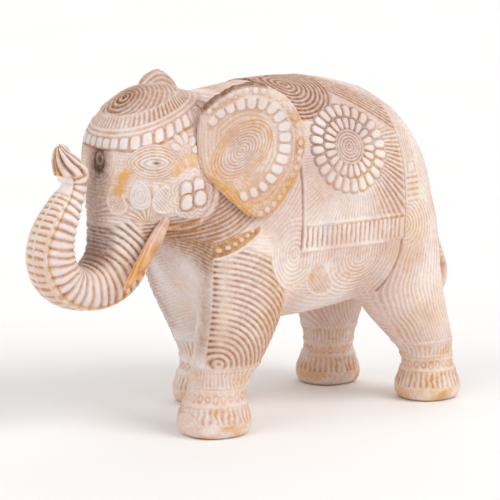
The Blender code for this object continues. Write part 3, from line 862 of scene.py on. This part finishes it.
def ear(relief, left):
    """A beaded border, a row of pale petals inside it, and nested ovals."""
    points = relief.points
    offset = points - np.array(EAR_ROOT)
    along = np.array((math.sin(EAR_FLARE), math.cos(EAR_FLARE), 0))
    outward = np.array((math.cos(EAR_FLARE), -math.sin(EAR_FLARE), 0))
    flat = np.column_stack([offset @ along, offset[:, 2]])
    facing = relief.normals @ outward
    face = fade(facing, -0.1, 0.25)
    rim = rounded(EAR_RIM, 8)
    middle = np.array(EAR_MIDDLE, float)
    spokes = rim - middle
    bearing = np.arctan2(*spokes.T[::-1])
    order = np.argsort(bearing)
    u, v = flat.T
    here = np.arctan2(v - middle[1], u - middle[0])
    to_rim = np.interp(here, bearing[order], np.hypot(*spokes[order].T), period=2 * np.pi)
    ratio = np.hypot(*(flat - middle).T) / to_rim
    inset, reach, _ = along_path(flat, rim)
    behind = until(reach, EAR_TIP_REACH, EAR_TIP_REACH + 10) * fade(u + 0.35 * v, 4, 8)  # not the front edge

    lengthwise = np.array((math.cos(EAR_OVAL_TILT), math.sin(EAR_OVAL_TILT)))
    crosswise = np.array((-lengthwise[1], lengthwise[0]))
    centred = flat - np.array(EAR_OVAL)
    oval = np.hypot(centred @ lengthwise / EAR_OVAL_SIZE[0], (centred @ crosswise) / EAR_OVAL_SIZE[1])
    low = fade(-v, 10, 40)
    tan = 0.3 + 0.3 * low
    lines = furrow(14 * ratio + 0.2 * wave(points, 20, 41), 0.25)
    front = face * until(u - 0.25 * v, -4, 12) * fade(v, -26, -12)
    back = 1 - face
    gold = tan * face * (1 - 0.8 * front)
    cut, brown = (0.5 + 0.3 * back) * lines, 0.08 + 0.2 * back * lines
    relief.over(1, cut, 0.5 + 0.4 * back, 0, gold, brown, 0.4 * front)
    nest = face * until(oval, 1.0, 1.04)
    core = until(oval, 0.35, 0.9)
    cut = threads(oval * 10 + 0.1 * wave(points, 15, 42), 0.27)
    relief.over(nest, 0.75 * cut, 0.7, 0.3, gold=0.12 + 0.4 * (1 - core), brown=(0.06 + 0.16 * cut) * core)

    away, steps, _ = along_path(flat, rounded(EAR_ROW))
    pitch = steps.max() / EAR_PETALS
    wide = (steps / pitch - np.floor(steps / pitch) - 0.5) * pitch
    band = face * until(away, 4.9, 5.7)
    size = 1 - 0.2 * low
    petal = (np.abs(wide) / (3.4 * size)) ** 3 + (away / (4.4 * size)) ** 3
    relief.over(band, 0.45, 0.9, 0, gold=0.22 + 0.3 * low, brown=0.06)
    relief.over(band * fade(-petal, -1.2, -0.6), 0, 0, 0.9, gold=0.06, brown=0, white=0.28 - 0.15 * low)

    border = face * fade(ratio, EAR_LINE, EAR_LINE + 0.02)
    warm = fade(u, 46, 64) * until(v, 22, 34)
    blot = np.clip(0.5 + 0.9 * wave(points, 13, 43), 0, 1)
    gold, brown = 0.2 + 0.6 * warm * blot + 0.3 * low, 0.05 + 0.15 * warm * blot
    relief.over(border, 0.4 * furrow(inset / 2.6, 0.25), 0.6, 0.1, gold=gold, brown=brown)
    pitch = 6.2
    away, steps, _ = along_path(flat, middle + EAR_BEADS * spokes)
    wide = (steps / pitch - np.round(steps / pitch)) * pitch
    bead = np.hypot(wide, away) - 0.5 * wave(points, 7, 45)
    spotty = behind * np.clip(0.75 + 0.6 * wave(points, 16, 46), 0, 1)
    gold, brown = 0.25 + 0.5 * warm * blot, 0.3 * warm * blot
    relief.over(border * spotty * until(bead, 2.6, 3.3), 0.5, 0.9, 0, gold=gold, brown=brown)
    white = 0.25 - 0.2 * warm
    relief.over(border * spotty * until(bead, 1.5, 2.4), 0, 0, 0.8, gold=0.3 * warm, brown=0, white=white)
    top = within(u, -8, 46, 5) * fade(v, 20, 27)
    dark = np.where(left, 1, 0.2)  # the far ear's edge is pale in the photograph
    # The near ear's top rim is raised and darkened: partly brown stain, partly painted shade of the gap behind
    # it; the far ear gets little
    relief.height += 2.2 * dark * fade(ratio, 0.8, 0.98) * top
    relief.tint(dark * fade(ratio, 0.88, 0.92) * top * (facing > -0.5), brown=0.85, gold=0.3)
    relief.tint(face * within(ratio, 0.74, 0.84, 0.03) * top * fade(-u, -34, -18), gold=0.3, brown=0.2)
    relief.raised(face * line(ratio - EAR_LINE, 0.016) * behind, 0.7)
    relief.raised(face * line(inset - 0.6, 0.9) * (1 - top) * (1 - front), 0.4)
    relief.height -= 1.6 * front  # the front edge runs into the face
    tip = fade(reach, EAR_TIP_REACH - 4, EAR_TIP_REACH + 4)
    relief.tint(face * line(inset - 2, 5) * (low + tip) * (1 - front), gold=0.5)
    # Painted shade on the near ear's upper edges that face the body
    relief.tint(dark * within(facing, -0.4, 0.1, 0.15) * fade(v, 10, 40), brown=0.6, gold=0.2)
    relief.brown = np.minimum(relief.brown, 0.87)


def tusk(relief, _):
    """Grain along the tusk, honey-coloured towards its tip and whitewashed at its root."""
    points, x, y, z = relief.places()
    grain = furrow((x * 1.3 + 0.25 * y) / 3.2 + 0.3 * wave(points, 18, 2), 0.3)
    worn = np.clip(0.5 + 0.8 * wave(points, 14, 51), 0, 1)
    root = fade(z, 122, 154)
    gold = (0.5 + 0.4 * worn) * (1 - 0.8 * root)
    brown = 0.1 * grain + 0.15 * worn * root
    relief.over(1, grain, 0.4, 0, gold=gold, brown=brown, white=0.75 * root)


def tail(relief, _):
    """A twisted rope with a tuft of strands at its end."""
    _, x, y, z = relief.places()
    turn = np.arctan2(x - x.mean(), y - TAIL_MIDDLE) / (2 * np.pi)
    tuft = until(z, 96, 106)
    strands = furrow(turn * 14 + 0.02 * z, 0.26)
    rope = furrow(z / 4.2 + turn * 2, 0.24)
    cut = strands * tuft + rope * (1 - tuft)
    relief.over(1, cut, 0.6, 0.1, gold=0.12, brown=0.03, white=0.2)


# --- sawing the skin apart ---

GLUE = 0.15  # how far above the legs' tops they are sawn off
LEG_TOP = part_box("leg_front_left")[1][2] / MM + GLUE
TORSO_MIDDLE = (cad_low[1] + cad_high[1]) / 2 / MM + 40  # y between the front legs and the rear ones
TRUNK_BACK = -87.0  # behind this, what hangs below the trunk's glue line is throat
TRUNK_FRONT = -139.0  # in front of this, all is trunk
STRAY_EDGES = 8  # so few free edges where two blocks touch aren't a glued end


def joint_plane(node, side):
    """The middle of a dowel and its direction: the glue line that it crosses at right angles."""
    points = points_of(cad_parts[node].data)
    spread = points - points.mean(0)
    normal = np.linalg.eigh(spread.T @ spread)[1][:, -1]
    return (points.min(0) + points.max(0)) / 2, normal * np.sign(normal @ side)


NECK = joint_plane("neck_dowel_upper", (0, 1, 0))
TRUNK = joint_plane("trunk_dowel", (0, 1, 1))


def beyond(points, plane):
    """How far each point lies from a glue line, on its body side."""
    return (points - plane[0]) @ plane[1]


def owners(points):
    """The number in BODY_NODES of the block that holds each point."""
    x, y, z = points.T
    owner = np.full(len(points), BODY_NODES.index("torso"))
    head = beyond(points, NECK) < 0
    owner[head] = BODY_NODES.index("head")
    trunk_below = (beyond(points, TRUNK) < 0) & (y < TRUNK_BACK)
    owner[head & (trunk_below | (y < TRUNK_FRONT))] = BODY_NODES.index("trunk")
    leg = (z < LEG_TOP) & (y > TRUNK_BACK - 5)
    for end, along in zip(ENDS, (y < TORSO_MIDDLE, y >= TORSO_MIDDLE)):
        for hand, across in (("left", x > 0), ("right", x < 0)):
            owner[leg & along & across] = BODY_NODES.index(f"leg_{end}_{hand}")
    return owner


def open_rims(faces, others):
    """The free edges of some faces, in one group for each other block that they touch."""
    edges = np.stack([faces, np.roll(faces, -1, 1)], 2).reshape(-1, 2).astype(np.int64)
    count = len(others[0])
    key = edges[:, 0] * count + edges[:, 1]
    twin = edges[:, 1] * count + edges[:, 0]
    rim = edges[~np.isin(twin, key)]
    ends = [rim[other[rim].all(1)] for other in others]
    return [end for end in ends if len(end) > STRAY_EDGES]


def block_mesh(name, spots, faces, caps):
    """A mesh of four-sided faces, then three-sided caps."""
    made = bpy.data.meshes.new(name)
    tips = np.concatenate([faces.ravel()] + [cap.ravel() for cap in caps])
    triangles = sum(map(len, caps))
    made.vertices.add(len(spots))
    made.loops.add(len(tips))
    made.polygons.add(len(faces) + triangles)
    made.vertices.foreach_set("co", (spots * MM).ravel())
    made.loops.foreach_set("vertex_index", tips.astype(np.int32))
    starts = np.concatenate([np.arange(len(faces)) * 4, faces.size + np.arange(triangles) * 3])
    made.polygons.foreach_set("loop_start", starts.astype(np.int32))
    made.update(calc_edges=True)
    made.validate()
    return made, tips


def sawn(item):
    """Closed pieces of a skin, one for each block, with flat ends where they are glued."""
    mesh = item.data
    points, normals = points_of(mesh), normals_of(mesh)
    corners = read(mesh.loops, "vertex_index", 1, np.int32).reshape(-1, 4)
    owner = owners(points[corners].mean(1))
    shared = []
    for number in range(len(BODY_NODES)):
        used = np.zeros(len(points), bool)
        used[corners[owner == number].ravel()] = True
        shared.append(used)
    torso, head, trunk, *legs = shared  # the points beside a glue line move onto it
    for both, plane in ((torso & head, NECK), (head & trunk & (points[:, 1] < TRUNK_BACK - 2), TRUNK)):
        points[both] -= beyond(points[both], plane)[:, None] * plane[1]
    for leg in legs:
        points[torso & leg, 2] = LEG_TOP

    pieces = []
    for number, node in enumerate(BODY_NODES):
        faces = corners[owner == number]
        ends = open_rims(faces, shared[:number] + shared[number + 1 :])
        used = np.unique(faces)
        place = np.full(len(points), -1)
        place[used] = np.arange(len(used))
        spots, caps = [points[used]], []
        for index, end in enumerate(ends):  # a fan of triangles closes each end
            spots.append(points[end].mean((0, 1))[None])
            middle = np.full(len(end), len(used) + index)
            caps.append(np.column_stack([place[end[:, 1]], place[end[:, 0]], middle]))
        spots = np.vstack(spots)
        made, tips = block_mesh(node, spots, place[faces], caps)
        for name in MARKS:
            values = read(mesh.attributes[name].data, "value", 1)[:, 0]
            put_values(made, name, np.concatenate([values[used], np.zeros(len(ends))]))
        made.shade_smooth()
        leaning = np.vstack([normals[used], np.zeros((len(ends), 3))])[tips]
        start = faces.size
        for cap in caps:
            a, b, c = (spots[cap[:, i]] for i in range(3))
            flat = np.cross(b - a, c - a).sum(0)
            leaning[start : start + cap.size] = flat / np.linalg.norm(flat)
            start += cap.size
        made.normals_split_custom_set(leaning)
        pieces.append(new_object(node + "_carved", made))
    remove(item)
    return pieces


# --- looks ---

class Nodes:
    """Short ways of adding the nodes that the materials share."""

    def __init__(self, name):
        self.material = bpy.data.materials.new(name)
        self.material.use_nodes = True
        self.tree = self.material.node_tree
        self.shader = self.tree.nodes["Principled BSDF"]
        self.place = self.add("ShaderNodeTexCoord").outputs["Object"]

    def add(self, kind, **settings):
        node = self.tree.nodes.new(kind)
        for key, value in settings.items():
            setattr(node, key, value)
        return node

    def link(self, source, target):
        if hasattr(source, "is_output"):
            self.tree.links.new(source, target)
        else:
            target.default_value = source

    def mark(self, name):
        return self.add("ShaderNodeAttribute", attribute_name=name).outputs["Fac"]

    def noise(self, scale, detail=3.0, rough=0.55, stretch=None):
        node = self.add("ShaderNodeTexNoise")
        for key, number in (("Scale", scale), ("Detail", detail), ("Roughness", rough)):
            node.inputs[key].default_value = number
        place = self.place
        if stretch:
            mapping = self.add("ShaderNodeMapping")
            mapping.inputs["Scale"].default_value = stretch
            self.link(place, mapping.inputs["Vector"])
            place = mapping.outputs["Vector"]
        self.link(place, node.inputs["Vector"])
        return node.outputs["Fac"]

    def math(self, operation, first, second=0.0):
        node = self.add("ShaderNodeMath", operation=operation)
        self.link(first, node.inputs[0])
        self.link(second, node.inputs[1])
        return node.outputs[0]

    def times(self, first, second):
        return self.math("MULTIPLY", first, second)

    def ranged(self, value, low, high, to_low=0.0, to_high=1.0):
        node = self.add("ShaderNodeMapRange", interpolation_type="SMOOTHSTEP")
        for key, number in zip(("From Min", "From Max", "To Min", "To Max"), (low, high, to_low, to_high)):
            node.inputs[key].default_value = number
        self.link(value, node.inputs["Value"])
        return node.outputs["Result"]

    def mixed(self, share, first, second, blend="MIX"):
        node = self.add("ShaderNodeMix", data_type="RGBA", blend_type=blend)
        self.link(share, node.inputs["Factor"])
        self.link(first, node.inputs["A"])
        self.link(second, node.inputs["B"])
        return node.outputs["Result"]

    def finish(self, colour, rough, height, distance, specular=0.35):
        bump = self.add("ShaderNodeBump")
        bump.inputs["Strength"].default_value = 0.5
        bump.inputs["Distance"].default_value = distance
        self.link(height, bump.inputs["Height"])
        self.link(colour, self.shader.inputs["Base Color"])
        self.link(rough, self.shader.inputs["Roughness"])
        self.link(bump.outputs["Normal"], self.shader.inputs["Normal"])
        self.shader.inputs["Specular IOR Level"].default_value = specular
        return self.material


def tone(red, green, blue):
    """A colour from its 0 to 255 display values."""
    linear = [((c / 255 + 0.055) / 1.055) ** 2.4 if c > 10 else c / 255 / 12.92 for c in (red, green, blue)]
    return (*linear, 1.0)


WASH = tone(242, 230, 224)
BARE = tone(192, 144, 120)
BLUSH = tone(228, 194, 179)
COOL = tone(222, 214, 216)
CHALK = tone(236, 234, 238)
CREAM = tone(238, 212, 172)
OCHRE = tone(224, 168, 90)
RUST = tone(182, 106, 60)
# brown stain colour, also used as painted shade
STAIN_AND_PAINTED_SHADE = tone(118, 68, 50)
# near-black: the painted pupil, and the deepest painted shade in hollows and recesses
DARK_PAINT_AND_PAINTED_SHADE = tone(62, 50, 46)


def washed_wood(name, wash=WASH, bare=BARE):
    """White wash on the ridges, bare and stained wood in the grooves, ochre rubbed in here and there, and
    painted shade where the brown mark is high.
    """
    n = Nodes(name)
    cut, gold, brown, white = (n.mark(mark) for mark in MARKS)
    broad, fine, speck = n.noise(28, 2), n.noise(260, 4, 0.65), n.noise(900, 3, 0.7)
    grain = n.noise(420, 3, 0.6, (1, 1, 0.16))
    worn = n.ranged(n.math("ADD", n.times(fine, 0.6), n.times(broad, 0.4)), 0.42, 0.6)
    washed = n.ranged(n.noise(38, 3, 0.6), 0.36, 0.6, 0.35, 1.0)
    bared = n.times(n.times(cut, washed), n.ranged(fine, 0.3, 0.65, 0.7, 1.0))
    gilded = n.times(gold, n.ranged(fine, 0.3, 0.62, 0.55, 1.1))
    tinted = n.mixed(n.times(cut, n.ranged(broad, 0.35, 0.62, 0.15, 0.75)), OCHRE, RUST)
    dust = n.times(n.ranged(speck, 0.52, 0.66), n.ranged(brown, 0.3, 0.8, 0.3, 0.0))
    colour = wash
    for share, coat in (
        (n.times(worn, 0.45), BLUSH),
        (n.ranged(n.noise(45, 2), 0.52, 0.68, 0.0, 0.6), COOL),
        (n.ranged(n.noise(24, 3), 0.5, 0.66, 0.0, 0.4), CREAM),
        (n.ranged(n.noise(14, 2), 0.4, 0.62, 0.0, 0.3), bare),
        (n.times(white, n.ranged(fine, 0.3, 0.6, 0.95, 0.6)), CHALK),
        (bared, bare),
        (n.ranged(gilded, 0.0, 1.0, 0.0, 0.95), tinted),
        # brown mark: stain, and painted shade where the relief paints it
        (n.times(brown, n.ranged(fine, 0.3, 0.65, 0.6, 0.95)), STAIN_AND_PAINTED_SHADE),
        # near-black where brown is highest: pupil paint and the deepest painted shade
        (n.ranged(brown, 0.8, 1.0, 0.0, 0.7), DARK_PAINT_AND_PAINTED_SHADE),
        (dust, wash),
    ):
        colour = n.mixed(share, colour, coat)
    rough = n.ranged(fine, 0.3, 0.7, 0.55, 0.78)
    height = n.math("ADD", n.times(fine, 0.6), n.times(grain, 0.5))
    return n.finish(colour, rough, height, distance=0.0004)


def plain_wood(name, light, dark):
    """Bare turned wood with its grain along the rod."""
    n = Nodes(name)
    grain = n.noise(600, 4, 0.6, (1, 1, 0.08))
    colour = n.mixed(n.ranged(grain, 0.35, 0.65), light, dark)
    return n.finish(colour, n.ranged(grain, 0.3, 0.7, 0.5, 0.7), grain, distance=0.0002)


# --- pieces ---


def carved(item, step, lowest=None):
    """Cut a pattern into a skin, the same on its left and right, and remember it for the material."""
    mesh = item.data
    points, normals = points_of(mesh), normals_of(mesh)
    left = points[:, 0] > 0
    fold = np.where(points[:, :1] < 0, (-1, 1, 1), (1, 1, 1))
    relief = Relief(points * fold, normals * fold)
    step(relief, left)
    points = points + normals * relief.height[:, None]
    if lowest is not None:
        points[:, 2] = np.maximum(points[:, 2], lowest)
    put_points(mesh, points)
    for name in MARKS:
        put_values(mesh, name, np.clip(getattr(relief, name), 0, 1))
    mesh.shade_smooth()


def body_steps(relief, left):
    """All patterns of the body; a later one lies over an earlier one."""
    points, _, y, z = relief.places()
    head = fade(-beyond(points, NECK), -0.5, 0.5) * (1 - trunk_part(points))
    plain_lines(relief)
    neck_lines(relief)
    front_legs(relief, left)
    swirl(relief)
    rump(relief)
    below_blanket(relief)
    blanket(relief)
    rear_legs(relief, left)
    ankles(relief, left)
    face = head * until(y, -62, -56)
    relief.tint(face * fade(z, 160, 180), gold=0.12)
    leaves(relief, face)
    forehead(relief, face)
    cap(relief, head)
    eye(relief, face)
    flowers(relief, face)
    jaw(relief, face)
    trunk(relief)


FINENESS = 2
LOOKS = {
    "whitewashed_wood": washed_wood("whitewash"),
    "honey_wood": washed_wood("honey", tone(232, 182, 138), tone(208, 134, 70)),
    "dowel_wood": plain_wood("dowel", tone(222, 190, 148), tone(196, 158, 114)),
}


def settle(piece, node, look):
    piece.data.materials.append(LOOKS[look])
    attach(piece, "root")
    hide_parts(node)


body = skin("body", BODY_NODES, voxel=3.0, swell=0.4, times=12, levels=FINENESS)
carved(body, body_steps, lowest=0.0)
for piece in sawn(body):
    settle(piece, piece.name.removesuffix("_carved"), "whitewashed_wood")

SMALL = (  # node, voxel in millimetres, rounds of smoothing, pattern, look
    ("ear_left", 2.2, 4, ear, "whitewashed_wood"),
    ("ear_right", 2.2, 4, ear, "whitewashed_wood"),
    ("tusk_left", 1.4, 6, tusk, "honey_wood"),
    ("tusk_right", 1.4, 6, tusk, "honey_wood"),
    ("tail", 1.8, 6, tail, "whitewashed_wood"),
)
for node, voxel, times, step, look in SMALL:
    piece = skin(node + "_carved", (node,), voxel, swell=0, times=times, levels=FINENESS)
    carved(piece, step)
    settle(piece, node, look)

for name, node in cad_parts.items():
    if "dowel" in name:
        node.data.materials.clear()
        node.data.materials.append(LOOKS["dowel_wood"])


# --- floor, light and camera ---


CAMERA_PLACE = (1.61341, -1.19239, 0.46730)
CAMERA_AIM = (-0.7918, 0.5868, -0.1695)
CAMERA_LENS = 195.9
LIT_POINT = (0, 0, 0.12)
DAYLIGHT = 0.62
LAMPS = (  # name, place, spread in degrees, power
    ("key", (1.4, 0.7, 1.5), 38, 1.32),
    ("fill", (0.2, -1.6, 1.4), 50, 0.65),
    ("back", (-1.2, 1.6, 1.6), 50, 0.3),
)


def turned(item, direction):
    item.rotation_euler = Vector(direction).to_track_quat("-Z", "Y").to_euler()


def studio():
    """A pale floor, daylight from all round and three soft lamps."""
    floor_mesh = bpy.data.meshes.new("floor")
    edge = 6
    square = [(-edge, -edge, 0), (edge, -edge, 0), (edge, edge, 0), (-edge, edge, 0)]
    floor_mesh.from_pydata(square, [], [(0, 1, 2, 3)])
    floor = new_object("floor", floor_mesh)
    floor.location.z = -0.0002  # just under the soles
    n = Nodes("floor")
    shade = n.mixed(n.ranged(n.noise(3, 1), 0.3, 0.7, 0.0, 0.5), tone(250, 249, 248), tone(246, 245, 244))
    floor_mesh.materials.append(n.finish(shade, 0.7, n.noise(40, 1), distance=0.0001, specular=0.1))

    world = bpy.data.worlds.new("studio")
    bpy.context.scene.world = world
    world.use_nodes = True
    background = world.node_tree.nodes["Background"]
    background.inputs["Color"].default_value = (1, 1, 1, 1)
    background.inputs["Strength"].default_value = DAYLIGHT
    for name, place, spread, power in LAMPS:
        lamp = bpy.data.lights.new(name, "SUN")
        lamp.energy = power
        lamp.angle = math.radians(spread)
        item = new_object(name, lamp)
        item.location = place
        turned(item, Vector(LIT_POINT) - item.location)


def photographer():
    """The camera at the photograph's angle."""
    camera = bpy.data.cameras.new("camera")
    camera.lens = CAMERA_LENS
    camera.sensor_width = 36
    camera.clip_end = 50
    item = new_object("camera", camera)
    item.location = CAMERA_PLACE
    turned(item, CAMERA_AIM)
    bpy.context.scene.camera = item


studio()
photographer()
bpy.context.scene.view_settings.view_transform = "Standard"
